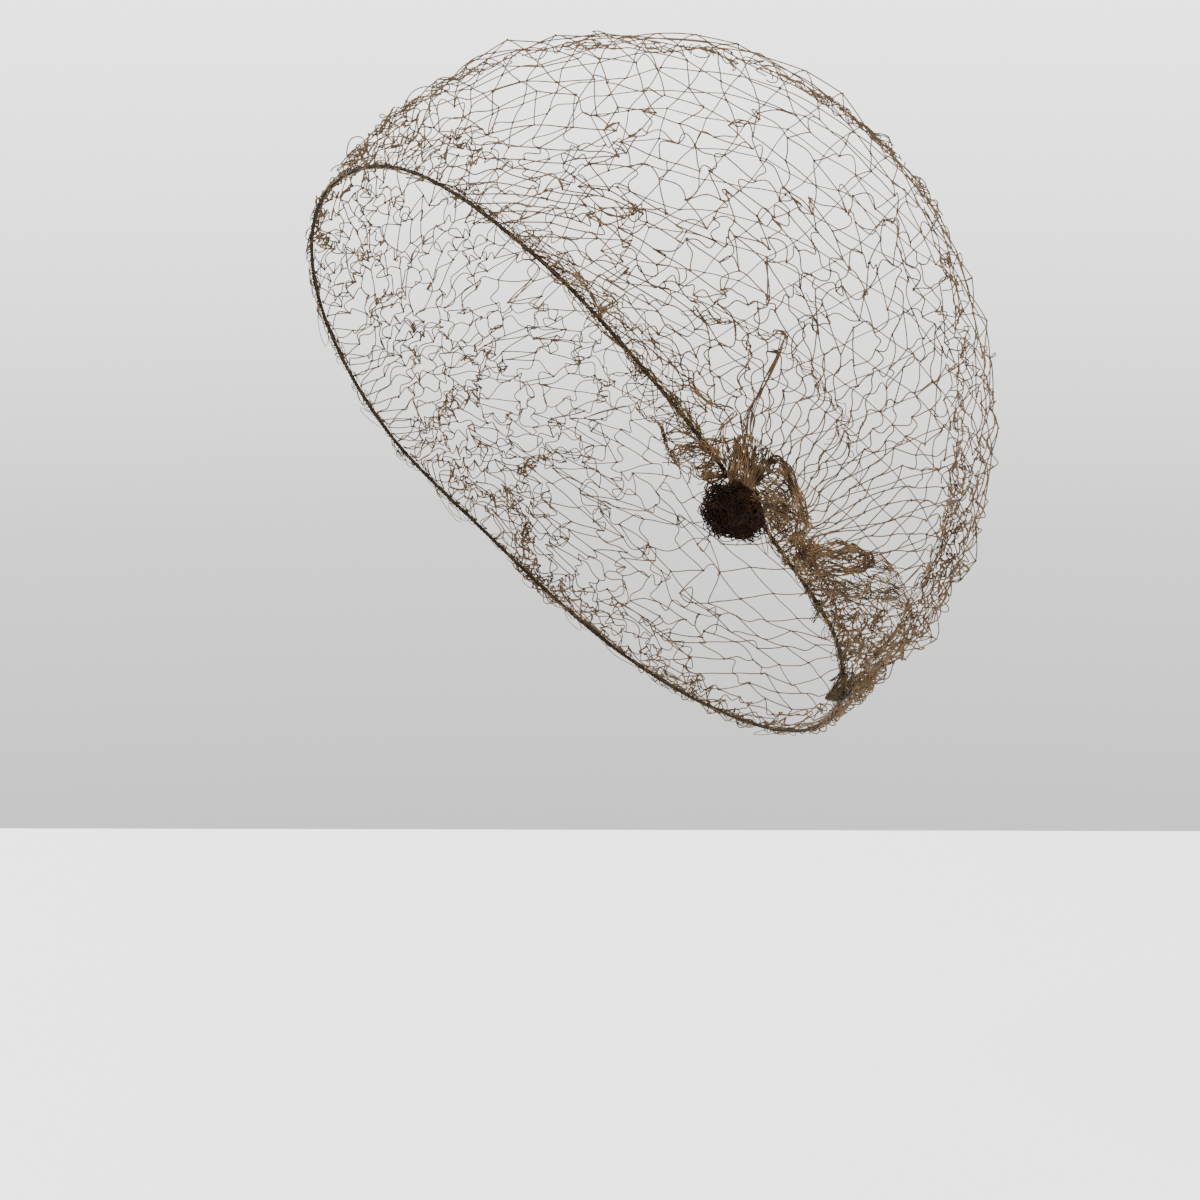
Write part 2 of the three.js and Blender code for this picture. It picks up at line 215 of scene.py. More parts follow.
def make_camera():
    level = cos(ELEVATION)
    back = Vector((sin(AZIMUTH) * level, -cos(AZIMUTH) * level, sin(ELEVATION)))
    right = (-back).cross(Vector((0, 0, 1))).normalized()
    up = right.cross(-back)
    centre = Vector(HEAD_CENTRE)
    data = bpy.data.cameras.new("camera")
    data.lens = LENS
    data.sensor_width = SENSOR
    camera = bpy.data.objects.new("camera", data)
    camera.location = centre + back * DISTANCE
    turned_to(camera, centre + right * AIM_ASIDE - up * AIM_BELOW)
    bpy.context.scene.camera = camera


def add_light(name, place, size, watts, colour):
    data = bpy.data.lights.new(name, "AREA")
    data.shape, data.size = "DISK", size
    data.energy, data.color = watts, colour
    light = bpy.data.objects.new(name, data)
    light.location = place
    turned_to(light, Vector(HEAD_CENTRE))


def make_floor():
    """A pale table top whose far edge is the line behind the net."""
    away = Vector((-sin(AZIMUTH), cos(AZIMUTH), 0))
    aside = Vector((cos(AZIMUTH), sin(AZIMUTH), 0))
    corners = []
    for along, side in ((BEHIND, -1), (BEHIND, 1), (-BEFORE, 1), (-BEFORE, -1)):
        corner = away * along + aside * side * HALF_WIDTH
        corners.append((corner.x, corner.y, FLOOR_Z))
    mesh = bpy.data.meshes.new("floor")
    mesh.from_pydata(corners, [], [(3, 2, 1, 0)])
    material, _ = mottled_material("pale_floor", FLOOR_COLOURS, roughness=0.7, shine=0.3, mottle=3)
    mesh.materials.append(material)
    floor = bpy.data.objects.new("floor", mesh)
    bpy.context.collection.objects.link(floor)


def set_ramp(ramp, stops):
    """Gives a colour ramp these stops, each a position and a colour."""
    elements = ramp.color_ramp.elements
    elements[0].position = stops[0][0]
    elements[1].position = stops[-1][0]
    for position, _ in stops[1:-1]:
        elements.new(position)
    for element, (_, colour) in zip(elements, stops):
        element.color = (*colour, 1)


def make_studio():
    world = bpy.data.worlds.new("studio")
    bpy.context.scene.world = world
    world.use_nodes = True
    nodes, links = world.node_tree.nodes, world.node_tree.links
    sky = nodes["Background"]
    place = nodes.new("ShaderNodeTexCoord")
    split = nodes.new("ShaderNodeSeparateXYZ")
    height = nodes.new("ShaderNodeMapRange")
    height.inputs["From Min"].default_value = -1
    height.inputs["From Max"].default_value = 1
    ramp = nodes.new("ShaderNodeValToRGB")
    brightest = max(strength for _, strength in WALL)
    shares = [((z + 1) / 2, strength / brightest) for z, strength in WALL]
    set_ramp(ramp, [(position, [share * tint for tint in WALL_TINT]) for position, share in shares])
    links.new(place.outputs["Generated"], split.inputs["Vector"])
    links.new(split.outputs["Z"], height.inputs["Value"])
    links.new(height.outputs["Result"], ramp.inputs["Fac"])
    links.new(ramp.outputs["Color"], sky.inputs["Color"])
    sky.inputs["Strength"].default_value = brightest
    for name, light in LIGHTS.items():
        add_light(name, *light)


# Materials
# Each row: dark and light colours, between which the thread wanders, roughness, shine, and how fine its
# grain and its mottling are.
THREADS = {
    "net": ((0.034, 0.019, 0.009), (0.108, 0.067, 0.034), 0.6, 0.1, 9000, 160),
    "bead": ((0.018, 0.009, 0.004), (0.06, 0.034, 0.0155), 0.6, 0.1, 9000, 300),
    "core": ((0.004, 0.0024, 0.0009), (0.016, 0.01, 0.004), 0.6, 0.08, 7000, 350),
    "wrap": ((0.018, 0.0105, 0.0038), (0.088, 0.056, 0.0225), 0.6, 0.12, 7000, 220),
    "knot": ((0.0016, 0.0004, 0.0001), (0.005, 0.0016, 0.0005), 0.7, 0.02, 8000, 260),
    "winding": ((0.0015, 0.0006, 0.0002), (0.015, 0.0064, 0.0026), 0.6, 0.05, 8000, 420),
    # The gathered net's dark colour is partly the thread's own brown and partly painted shade between its
    # crowded strands.
    "gather": ((0.015, 0.0075, 0.0031), (0.108, 0.064, 0.031), 0.6, 0.08, 9000, 260),
    "bunch": ((0.007, 0.0042, 0.0016), (0.04, 0.026, 0.0105), 0.6, 0.1, 8000, 260),
}


def noise_in_object_space(material, scale, detail):
    nodes, links = material.node_tree.nodes, material.node_tree.links
    place = nodes.new("ShaderNodeTexCoord")
    noise = nodes.new("ShaderNodeTexNoise")
    noise.inputs["Scale"].default_value = scale
    noise.inputs["Detail"].default_value = detail
    links.new(place.outputs["Object"], noise.inputs["Vector"])
    return noise


def mottled_material(name, stops, roughness, shine, mottle):
    """A plain material whose colour wanders between the stops."""
    material = bpy.data.materials.new(name)
    material.use_nodes = True
    nodes, links = material.node_tree.nodes, material.node_tree.links
    shader = nodes["Principled BSDF"]
    shader.inputs["Roughness"].default_value = roughness
    shader.inputs["Specular IOR Level"].default_value = shine
    noise = noise_in_object_space(material, mottle, 3)
    ramp = nodes.new("ShaderNodeValToRGB")
    set_ramp(ramp, stops)
    links.new(noise.outputs["Fac"], ramp.inputs["Fac"])
    links.new(ramp.outputs["Color"], shader.inputs["Base Color"])
    return material, shader


def thread_material(name, dark, light, roughness, shine, grain_scale, mottle):
    stops = [(0.3, dark), (0.7, light)]
    material, shader = mottled_material(f"{name}_thread", stops, roughness, shine, mottle)
    links = material.node_tree.links
    grain = noise_in_object_space(material, grain_scale, 4)
    relief = material.node_tree.nodes.new("ShaderNodeBump")
    relief.inputs["Strength"].default_value = 0.3
    relief.inputs["Distance"].default_value = 0.0001
    links.new(grain.outputs["Fac"], relief.inputs["Height"])
    links.new(relief.outputs["Normal"], shader.inputs["Normal"])
    return material


MATERIALS = {name: thread_material(name, *row) for name, row in THREADS.items()}

# Threads as meshes


def rings(curves, radii, side, other, count):
    """Rings of this many points round curves, set out across them by the two ways given."""
    angle = TURN * np.arange(count) / count
    ring = np.cos(angle)[:, None] * side[..., None, :] + np.sin(angle)[:, None] * other[..., None, :]
    spread = np.broadcast_to(radii, curves.shape[:-1])[..., None, None]
    return (curves[..., None, :] + spread * ring).reshape(-1, 3)


def faces_between(row, after_row, count):
    """The four-sided faces between rings whose points start at these numbers."""
    here = np.arange(count)
    after = np.roll(here, -1)
    return np.stack([row + here, row + after, after_row + after, after_row + here], -1).reshape(-1, 4)


def thread_tubes(curves, radii, sides=3):
    """Closed tubes along curves, an array of (threads, points, 3); radii fit (threads, points)."""
    count, steps = curves.shape[:2]
    tangents = unit(np.gradient(curves, axis=1))
    side = unit(np.cross(tangents[:, 0], normal_at(curves[:, 0]) + 0.1 * TO_LEFT))
    sides_at = np.empty_like(curves)
    for k in range(steps):
        side = unit(side - (side * tangents[:, k]).sum(-1, keepdims=True) * tangents[:, k])
        sides_at[:, k] = side
    points = rings(curves, radii, sides_at, np.cross(tangents, sides_at), sides)
    starts = np.arange(count)[:, None] * steps * sides
    row = starts[..., None] + np.arange(steps - 1)[None, :, None] * sides
    around = np.arange(sides)[None]
    caps = np.concatenate([starts + around[:, ::-1], starts + (steps - 1) * sides + around])
    return points, faces_between(row, row + sides, sides), caps


def closed_tube(curve, radius, sides):
    """A tube along a closed curve of (points, 3)."""
    tangents = unit(np.roll(curve, -1, 0) - np.roll(curve, 1, 0))
    out = normal_at(curve)
    out = unit(out - (out * tangents).sum(-1, keepdims=True) * tangents)
    row = np.arange(len(curve))[:, None] * sides
    points = rings(curve, radius, out, np.cross(tangents, out), sides)
    return points, faces_between(row, np.roll(row, -1, 0), sides)


def add_piece(name, parts, material, node):
    """One mesh object from several meshes, in place of the CAD model's node."""
    points, faces, start = [], [], 0
    for part_points, *face_sets in parts:
        points.append(part_points)
        for face_set in face_sets:
            faces.extend((face_set + start).tolist())
        start += len(part_points)
    mesh = bpy.data.meshes.new(name)
    mesh.from_pydata(np.concatenate(points).tolist(), [], faces)
    mesh.polygons.foreach_set("use_smooth", [True] * len(mesh.polygons))
    mesh.materials.append(MATERIALS[material])
    mesh.update()
    piece = bpy.data.objects.new(name, mesh)
    bpy.context.collection.objects.link(piece)
    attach(piece, "root")
    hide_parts(node)


def smooth_curves(points, steps):
    """Smooth curves of this many points through (threads, points, 3)."""
    last = points.shape[1] - 1
    at = np.linspace(0, last, steps)
    row = np.minimum(at.astype(int), last - 1)
    near = [points[:, np.clip(row + k, 0, last)] for k in (-1, 0, 1, 2)]
    return catmull_rom(*near, (at - row)[None, :, None])


# The net
# A diamond mesh. Its left end is gathered into the knot, its long edges follow the elastic from there,
# and its right end is spread along the far side of the elastic, between the end turns.
MESHES_ALONG, MESHES_ACROSS = 28, 36
MESH_SIDE, SIDE_SPREAD, NET_THREAD = 0.0088, 0.05, 0.00018
EDGE_INSET, NET_LIFT = 0.0009, 0.0004
FRONT_END, BACK_END = -30, 230
# How wide the meshes lie from front edge to back, and how long from near end to far, against the mean.
WIDTHS = ([0, 0.1, 0.25, 0.5, 0.75, 0.9, 1], [1.7, 1.6, 1.25, 0.72, 0.8, 1, 1.2])
LENGTHS = ([0, 0.14, 0.26, 1], [1.4, 1.35, 1, 0.9])
# Where each long line leaves the elastic: its place from front edge to back, and metres back from the knot.
STARTS = ([0, 0.12, 0.22, 0.5, 0.7, 0.85, 1], [-0.045, -0.022, -0.009, 0.012, 0.030, 0.046, 0.062])
# Where the net is drawn together into a line: turn and reach of its points, how far to each side it
# draws knots in, and how strongly.
CREASES = {
    "top": (
        [(-19, 96), (-17, 87.8), (-12, 73.9), (-1, 62.8), (8, 52.3), (16, 39.7), (29, 36.2)], 0.009, 0.42),
    "right": (
        [(35, 29), (49, 23.3), (81, 23), (90, 39.5), (99, 50.1), (108, 62.1), (118, 72.3)], 0.009, 0.42),
    "temple": ([(36, 96.4), (43, 92.7), (46, 88), (54.6, 81.5), (64, 75), (70, 73)], 0.0045, 0.8),
    "brow": ([(24, 90), (31, 86.4), (35, 79)], 0.005, 0.7),
    "tuck": ([(45, 92.9), (53, 91.5), (61, 88.9), (65.4, 84)], 0.0035, 0.7),
    "past_tuck": ([(67.7, 84.5), (75, 82.5), (83, 83), (88.4, 85.7), (92, 89)], 0.0035, 0.8),
    "crown": ([(20, 50), (32, 44), (46, 42), (60, 40)], 0.005, 0.6),
    "ear": ([(112, 92), (124, 86), (136, 82), (150, 80)], 0.006, 0.6),
    "back": ([(120, 40), (128, 50), (134, 60), (140, 70)], 0.005, 0.5),
    "far_side": ([(-40, 80), (-60, 70), (-85, 66), (-110, 70)], 0.005, 0.6),
}
# How the knots stray from their even places: two drifts, each with its size, wavelength and seeds, and a
# scatter. It grows away from the side knot.
SLOW_DRIFT = (0.0024, 0.034, (11, 12, 13))
FINE_DRIFT = (0.0010, 0.013, (41, 42, 43))
SCATTER = 0.0005
STRAY_FROM_KNOT = (0.015, 0.060)
# How high the slack net's knots stand, in folds and each by itself, and how that grows in from the hem
# and away from the side knot.
FOLD_HEIGHT, FOLD_WAVELENGTH, FOLD_SCATTER = 0.0019, 0.014, 0.0011
FREE_FROM_HEM = (0, 0.020)
FREE_FROM_KNOT = (0.020, 0.050)
# How the knots settle: the rounds, the pull to the first place, the least distance, the push apart of
# those nearer, and how far each round steps past its aim.
ROUNDS, PULL, LEAST, PUSH, STEP = 260, 0.02, 0.0015, 0.3, 1.6
# How much slack a thread shows, how far it may stray aside, and how it is shared between its shapes.
# Over a patch of net the bows lean the same way.
SHOWN_BY_KNOT, LEAST_SLACK, MOST_SLACK = 0.2, 0.00002, 0.0045
SHORTEST, WIDEST = 0.0006, 0.0034
BOW, LEAN, PATCH, WAVE, CURL, RISE = 0.7, 0.9, 0.02, 0.3, 0.07, 0.6


def plan(turn, reach):
    """A flat plan of the cap that keeps angles, with the cap's axis at its middle."""
    radius = np.tan(np.radians(reach) / 2)
    turn = np.radians(turn)
    return np.stack([radius * np.sin(turn), radius * np.cos(turn)], -1)


def from_plan(points):
    radius = np.linalg.norm(points, axis=-1)
    return np.degrees(np.arctan2(points[..., 0], points[..., 1])), np.degrees(2 * np.arctan(radius))


def edge_plan(turn):
    return plan(turn, route_reach(turn) - np.degrees(EDGE_INSET / MEAN_RADIUS))


def net_paths(t, steps=160):
    """The net's long lines: arcs that leave the knot in a fan and end along the far elastic."""
    u = np.linspace(0, 1, steps)[None, :, None]
    begin = turn_back(np.interp(t, *STARTS))
    front_sweep = begin - FRONT_END
    back_sweep = BACK_END - begin
    start = edge_plan(begin)
    end = edge_plan(FRONT_END + (BACK_END - 360 - FRONT_END) * t)
    bulge = np.radians(front_sweep / 2 * (1 - t) - back_sweep / 2 * t)[:, None, None]
    chord = end - start
    square = np.stack([chord[:, 1], -chord[:, 0]], -1)
    bulge = np.where(np.abs(bulge) < 1e-3, 1e-3, bulge)
    along = 0.5 + np.sin(bulge * (2 * u - 1)) / (2 * np.sin(bulge))
    aside = (np.cos(bulge * (2 * u - 1)) - np.cos(bulge)) / (2 * np.sin(bulge))
    paths = start[:, None] + chord[:, None] * along + square[:, None] * aside
    u = u[0, :, 0]
    front = edge_plan(begin[0] - front_sweep[0] * u)
    back = edge_plan(begin[-1] + back_sweep[-1] * u)
    paths += ((1 - t) ** 4)[:, None, None] * (front - paths[0])
    paths += (t**4)[:, None, None] * (back - paths[-1])
    return on_head(*from_plan(paths))


def spaced_out(profile, count):
    """Places from 0 to 1 whose spacing follows the profile."""
    even = np.linspace(0, 1, 400)
    total = np.cumsum(np.interp(even, *profile))
    return np.interp(np.linspace(0, 1, count), even, (total - total[0]) / (total[-1] - total[0]))


def net_layout():
    """The knots' first places, which are on the edge, and the threads between them."""
    along, across = 2 * MESHES_ALONG, 2 * MESHES_ACROSS
    grid = np.array([(i, j) for i in range(along + 1) for j in range(across + 1) if (i + j) % 2 == 0])
    number = -np.ones((along + 3, across + 3), int)
    number[grid[:, 0], grid[:, 1]] = np.arange(len(grid))
    threads = [
        (number[i, j], number[i + 1, j + step])
        for i, j in grid
        for step in (-1, 1)
        if i < along and 0 <= j + step <= across
    ]
    paths = net_paths(spaced_out(WIDTHS, across + 1))
    strides = np.linalg.norm(np.diff(paths, axis=1), axis=-1)
    run = np.concatenate([np.zeros((across + 1, 1)), strides.cumsum(1)], 1)
    rows = spaced_out(LENGTHS, along + 1)
    home = np.empty((len(grid), 3))
    for j in range(across + 1):
        chosen = grid[:, 1] == j
        at = rows[grid[chosen, 0]] * run[j, -1]
        home[chosen] = np.stack([np.interp(at, run[j], paths[j, :, axis]) for axis in range(3)], -1)
    edge = np.isin(grid[:, 0], (0, along)) | np.isin(grid[:, 1], (0, across))
    return home, edge, np.array(threads)


def drift(points, size, wavelength, seeds):
    return size * np.stack([Ripple(wavelength, seed)(points) for seed in seeds], 1)


def drawn_into_creases(points):
    """The knots near a crease moved towards its line."""
    for route, width, pull in CREASES.values():
        turns, reaches = np.array(route, float).T
        line = smooth_curves(on_head(turns, reaches)[None], 60)[0]
        distance = np.linalg.norm(points[:, None] - line[None], axis=-1)
        share = pull * np.exp(-((distance.min(1) / width) ** 2))
        points = points + share[:, None] * (line[distance.argmin(1)] - points)
    return points


def stand_off(points):
    """How far each knot stands off the smooth cap: little at the hem and the side knot."""
    free = grown(from_hem(points), *FREE_FROM_HEM) * grown(from_knot(points), *FREE_FROM_KNOT)
    folds = np.maximum(Ripple(FOLD_WAVELENGTH, 17)(points), 0)
    scatter = np.abs(seeded(18).normal(0, 1, len(points)))
    flat = flat_share(points)
    return free * (1 - flat) * (FOLD_HEIGHT * folds + FOLD_SCATTER * scatter) - FLAT_DEPTH * flat


def relaxed_net(home, pinned, threads):
    """The knots settled so that no thread is stretched, and the threads' lengths."""
    rng = seeded(5)
    length = MESH_SIDE * rng.uniform(1 - SIDE_SPREAD, 1 + SIDE_SPREAD, len(threads))
    a, b = threads.T
    points = home.copy()
    shares = np.bincount(threads.ravel(), minlength=len(home))[:, None]
    slack_lift = stand_off(home)
    for _ in range(ROUNDS):
        points += PULL * (home - points)
        apart = points[b] - points[a]
        distance = np.maximum(np.linalg.norm(apart, axis=1), 1e-9)
        excess = np.maximum(distance - length, 0)
        excess += np.minimum(distance - LEAST, 0) * PUSH
        push = apart * (excess / distance)[:, None] / 2
        moved = np.stack([
            np.bincount(a, push[:, axis], len(home)) - np.bincount(b, push[:, axis], len(home))
            for axis in range(3)
        ], 1)
        points += moved / shares * STEP
        points[pinned] = home[pinned]
        points = dropped(points, net_lift(points) + NET_LIFT + slack_lift)
    return points, length


def slack_threads(points, threads, length, steps, seed):
    """Each thread from knot to knot, bowed by as much as it is longer than the straight way."""
    rng = seeded(seed)
    a, b = points[threads[:, 0]], points[threads[:, 1]]
    apart = b - a
    straight = np.maximum(np.linalg.norm(apart, axis=1), SHORTEST)
    middle = (a + b) / 2
    shown = SHOWN_BY_KNOT + (1 - SHOWN_BY_KNOT) * grown(from_knot(middle), *FREE_FROM_KNOT)
    slack = np.clip(length - straight, LEAST_SLACK, MOST_SLACK) * shown
    out = normal_at(middle)
    side = unit(np.cross(out, apart))
    lean = Ripple(PATCH, seed + 1)(middle)
    bow = rng.normal(0, BOW, len(a)) + LEAN * lean
    wave = rng.normal(0, WAVE, len(a))
    curl = rng.normal(0, CURL, len(a))
    rise = np.abs(rng.normal(0, RISE, len(a)))
    # A shallow wave of k halves and height h makes a way of length s longer by (pi k h)^2 / 4s.
    size = np.sqrt(4 * straight * slack / pi**2 / (bow**2 + 4 * wave**2 + 9 * curl**2 + rise**2))
    size = np.minimum(size, WIDEST / np.maximum(np.abs(bow) + np.abs(wave), 0.2))[:, None]
    u = np.linspace(0, 1, steps)[None]
    halves = [np.sin(k * pi * u) for k in (1, 2, 3)]
    across = size * (bow[:, None] * halves[0] + wave[:, None] * halves[1] + curl[:, None] * halves[2])
    lifted = size * rise[:, None] * halves[0]
    curves = a[:, None] + apart[:, None] * u[..., None]
    curves = curves + side[:, None] * across[..., None] + out[:, None] * lifted[..., None]
    return kept_off_head(curves, NET_LEAST)


def knot_beads(points, seed):
    """A small tight knot at each crossing, a little longer than wide."""
    rng = seeded(seed)
    way = unit(rng.normal(size=points.shape))
    size = rng.uniform(0.75, 1.2, (len(points), 1))
    along = 0.00040 * np.array([-1, -0.7, 0, 0.7, 1]) * size
    radii = np.array([0.00008, 0.00020, 0.00025, 0.00020, 0.00008]) * size
    return thread_tubes(points[:, None] + way[:, None] * along[..., None], radii, sides=5)


def make_net():
    home, edge, threads = net_layout()
    free = grown(from_knot(home), *STRAY_FROM_KNOT)[:, None]
    scatter = seeded(4).normal(0, SCATTER, home.shape)
    inner = (~edge)[:, None]
    home = home + inner * ((drift(home, *SLOW_DRIFT) + drift(home, *FINE_DRIFT)) * free + scatter)
    home = np.where(inner, drawn_into_creases(home), home)
    home = dropped(home, net_lift(home) + NET_LIFT)
    points, length = relaxed_net(home, edge, threads)
    curves = slack_threads(points, threads, length, 11, 21)
    in_front = points[threads[:, 0], 1] < 0
    for name, chosen in (("net_front", in_front), ("net_back", ~in_front)):
        add_piece(name, [thread_tubes(curves[chosen], NET_THREAD)], "net", "net_cap")
    add_piece("net_knots", [knot_beads(points, 8)], "bead", "net_cap")


# The elastic
# Three plies twisted together, in a covering of small loops and loose strands.
ELASTIC_LIFT = 0.0011
PLIES, PLY_RADIUS, TWIST_RADIUS, LAY_LENGTH = 3, 0.00025, 0.00026, 0.0036
CORE_STEPS, CORE_SIDES = 1500, 6
LOOPS, LOOP_RADIUS = 1100, 0.00011
STRANDS, STRAND_RADIUS = 84, 0.00012


def elastic_line(turn):
    return on_head(turn, route_reach(turn), ELASTIC_LIFT)


def elastic_core():
    """The plies, each a closed tube."""
    turn = np.linspace(0, 360, CORE_STEPS, endpoint=False)
    line = elastic_line(turn)
    out = normal_at(line)
    side = np.cross(unit(np.roll(line, -1, 0) - np.roll(line, 1, 0)), out)
    around = np.linalg.norm(np.roll(line, -1, 0) - line, axis=1).sum()
    lays = round(around / LAY_LENGTH)
    tubes = []
    for ply in range(PLIES):
        angle = TURN * (lays * turn / 360 + ply / PLIES)[:, None]
        middle = line + TWIST_RADIUS * (np.cos(angle) * out + np.sin(angle) * side)
        uneven = 1 + 0.12 * np.sin(turn * 1.3 + ply)
        tubes.append(closed_tube(middle, PLY_RADIUS * uneven, CORE_SIDES))
    return tubes


def elastic_loops():
    """Small loops of the covering that stand out from the elastic, in clusters."""
    rng = seeded(31)
    turn = rng.uniform(0, 360, LOOPS)
    crowd = Ripple(0.016, 33)(elastic_line(turn))
    turn = turn[rng.uniform(-1.2, 1.4, LOOPS) < crowd]
    column = (len(turn), 1)
    line = elastic_line(turn)
    ahead, out = unit(elastic_line(turn + 0.3) - line), normal_at(line)
    side = np.cross(out, ahead)
    size = rng.uniform(0.0004, 0.0010, column)
    stray = rng.uniform(size=column) < 0.14
    size = np.where(stray, size * 2.1, size)
    stretch = rng.uniform(1.2, 3.6, column)
    lean = rng.uniform(-1.2, 1.2, column)
    hand = np.sign(rng.uniform(-1, 1.0, column))
    angle = np.linspace(-0.15, 1.15, 13)[None] * TURN
    forward = size * stretch * np.sin(angle + lean)
    outward = hand * (size * (1 - np.cos(angle)) * 0.9 - 0.0002)
    upward = 0.0005 * np.sin(angle / 2 + lean)
    curves = line[:, None] + ahead[:, None] * forward[..., None]
    curves = curves + side[:, None] * outward[..., None] + out[:, None] * upward[..., None]
    return thread_tubes(kept_off_head(curves, ELASTIC_LEAST), LOOP_RADIUS)


def elastic_strands():
    """Strands of the covering that run along beside the elastic and bow away from it a little."""
    rng = seeded(35)
    count, steps = STRANDS, 22
    column = (count, 1)
    u = np.linspace(0, 1, steps)[None]
    turn = rng.uniform(0, 360, column) + rng.uniform(4, 14, column) * u
    hand = np.sign(rng.uniform(-1, 1, column))
    bow = hand * rng.uniform(0.0005, 0.0016, column) * np.sin(pi * u) ** 0.7
    bow = bow + 0.00022 * waver(rng, count, steps, (2, 3, 5))
    line = elastic_line(turn)
    out = normal_at(line)
    side = unit(np.cross(out, unit(np.gradient(line, axis=1))))
    lift = 0.0004 * waver(rng, count, steps)
    curves = line + side * bow[..., None] + out * lift[..., None]
    return thread_tubes(kept_off_head(curves, ELASTIC_LEAST), STRAND_RADIUS)


def make_elastic():
    covering = [elastic_loops(), elastic_strands()]
    add_piece("elastic_core", elastic_core(), "core", "elastic_band")
    add_piece("elastic_loops", covering, "wrap", "elastic_band")


# Bunched net by the knot
# Everything here is in millimetres: back along the elastic from the knot's middle, inward from the
# elastic over the head, and lift over the head form. Headings are in degrees.


def charted(curves):
    """The (back, inward, lift) curves, in millimetres, as curves in the part's frame."""
    return near_knot(*(curves.reshape(-1, 3) * MM).T).reshape(curves.shape)


def waver(rng, count, steps, waves=(1, 2, 3)):
    """A smooth random sideways drift for each thread, about -1 to 1."""
    u = np.linspace(0, 1, steps)[None]
    total = np.zeros((count, steps))
    for wave in waves:
        size = rng.normal(0, 1, (count, 1)) / wave**0.7
        speed = pi * wave * rng.uniform(0.8, 1.2, (count, 1))
        total += size * np.sin(speed * u + rng.uniform(0, 6.3, (count, 1)))
    return total / sqrt(len(waves))


def route_line(route, count):
    return smooth_curves(np.array([route], float), count)[0]


def placed_on(line, share):
    """The places at these shares of the way along a line of (points, axes)."""
    at = np.linspace(0, 1, len(line))
    return np.stack([np.interp(share, at, line[:, axis]) for axis in range(line.shape[1])], -1)


def ribbon(route, count, width, sway, wave, cover, steps, seed, rise=0.4):
    """Threads that run side by side along a route and sway together, as gathered net does.

    The half width is given at even places along the route; each thread covers this share of it.
    """
    rng = seeded(seed)
    line = route_line(route, 240)
    total = np.linalg.norm(np.diff(line[:, :2], axis=0), axis=1).sum()
    length = np.minimum(cover * rng.uniform(0.75, 1.25, (count, 1)), 1)
    u = rng.uniform(0, 1, (count, 1)) * (1 - length) + length * np.linspace(0, 1, steps)[None]
    curves = placed_on(line, u)
    slope = placed_on(unit(np.gradient(line[:, :2], axis=0)), u)
    across = np.stack([-slope[..., 1], slope[..., 0]], -1)
    lane = rng.permutation(np.linspace(-1, 1, count))[:, None]
    half = np.interp(u, np.linspace(0, 1, len(width)), width)
    together = np.sin(TURN * total / wave * u * (1 + 0.12 * lane) + 1.6 * lane + rng.uniform(0, 6.3))
    drift_aside = 0.6 * together + 0.55 * waver(rng, count, steps, (1, 2, 3, 5))
    curves[..., :2] += across * (half * lane + sway * drift_aside)[..., None]
    curves[..., 2] += rise * waver(rng, count, steps)
    return curves


def between(route_a, route_b, count, bow, arch, steps, seed, scatter=0.05):
    """Threads from places along one route to the matching places along another."""
    rng = seeded(seed)
    share = np.sort(rng.uniform(0, 1, count))
    ends = []
    for route in (route_a, route_b):
        place = np.clip(share + rng.normal(0, scatter, count), 0, 1)
        ends.append(placed_on(route_line(route, 120), place))
    u = np.linspace(0, 1, steps)[None, :, None]
    curves = ends[0][:, None] * (1 - u) + ends[1][:, None] * u
    apart = ends[1] - ends[0]
    side = unit(np.stack([-apart[:, 1], apart[:, 0]], -1))
    fade = np.sin(pi * np.linspace(0, 1, steps))[None] ** 0.7
    bowed = bow * waver(rng, count, steps, (1, 2, 3, 5)) * fade
    curves[..., :2] += side[:, None] * bowed[..., None]
    curves[..., 2] += arch * np.abs(rng.normal(0.6, 0.5, (count, 1))) * fade
    return curves


def looped(root_route, tip_route, count, gap, bow, reach, steps, seed, arch=0.4):
    """Threads that leave one route, turn over towards another and come back, as slack meshes do.

    The gap between a thread's feet is a share of the root route, and the reach is a share of the way
    to the tip route, from least to most.
    """
    rng = seeded(seed)
    root, tip = route_line(root_route, 120), route_line(tip_route, 120)
    start = rng.uniform(0, 1, count)
    stop = np.clip(start + rng.normal(0, gap, count), 0, 1)
    over = np.clip((start + stop) / 2 + rng.normal(0, gap / 2, count), 0, 1)
    a, b = placed_on(root, start), placed_on(root, stop)
    middle = (a + b) / 2
    far = middle + (placed_on(tip, over) - middle) * rng.uniform(*reach, (count, 1))
    corners = np.stack([a, a + (far - a) * 0.6, far, b + (far - b) * 0.6, b], 1)
    corners[:, 1:4, :2] += rng.normal(0, bow, (count, 3, 2))
    corners[:, 1:4, 2] += arch * np.abs(rng.normal(0.6, 0.5, (count, 3)))
    curves = smooth_curves(corners, steps)
    for axis in (0, 1):
        curves[..., axis] += 0.18 * waver(rng, count, steps, (5, 8))
    return curves


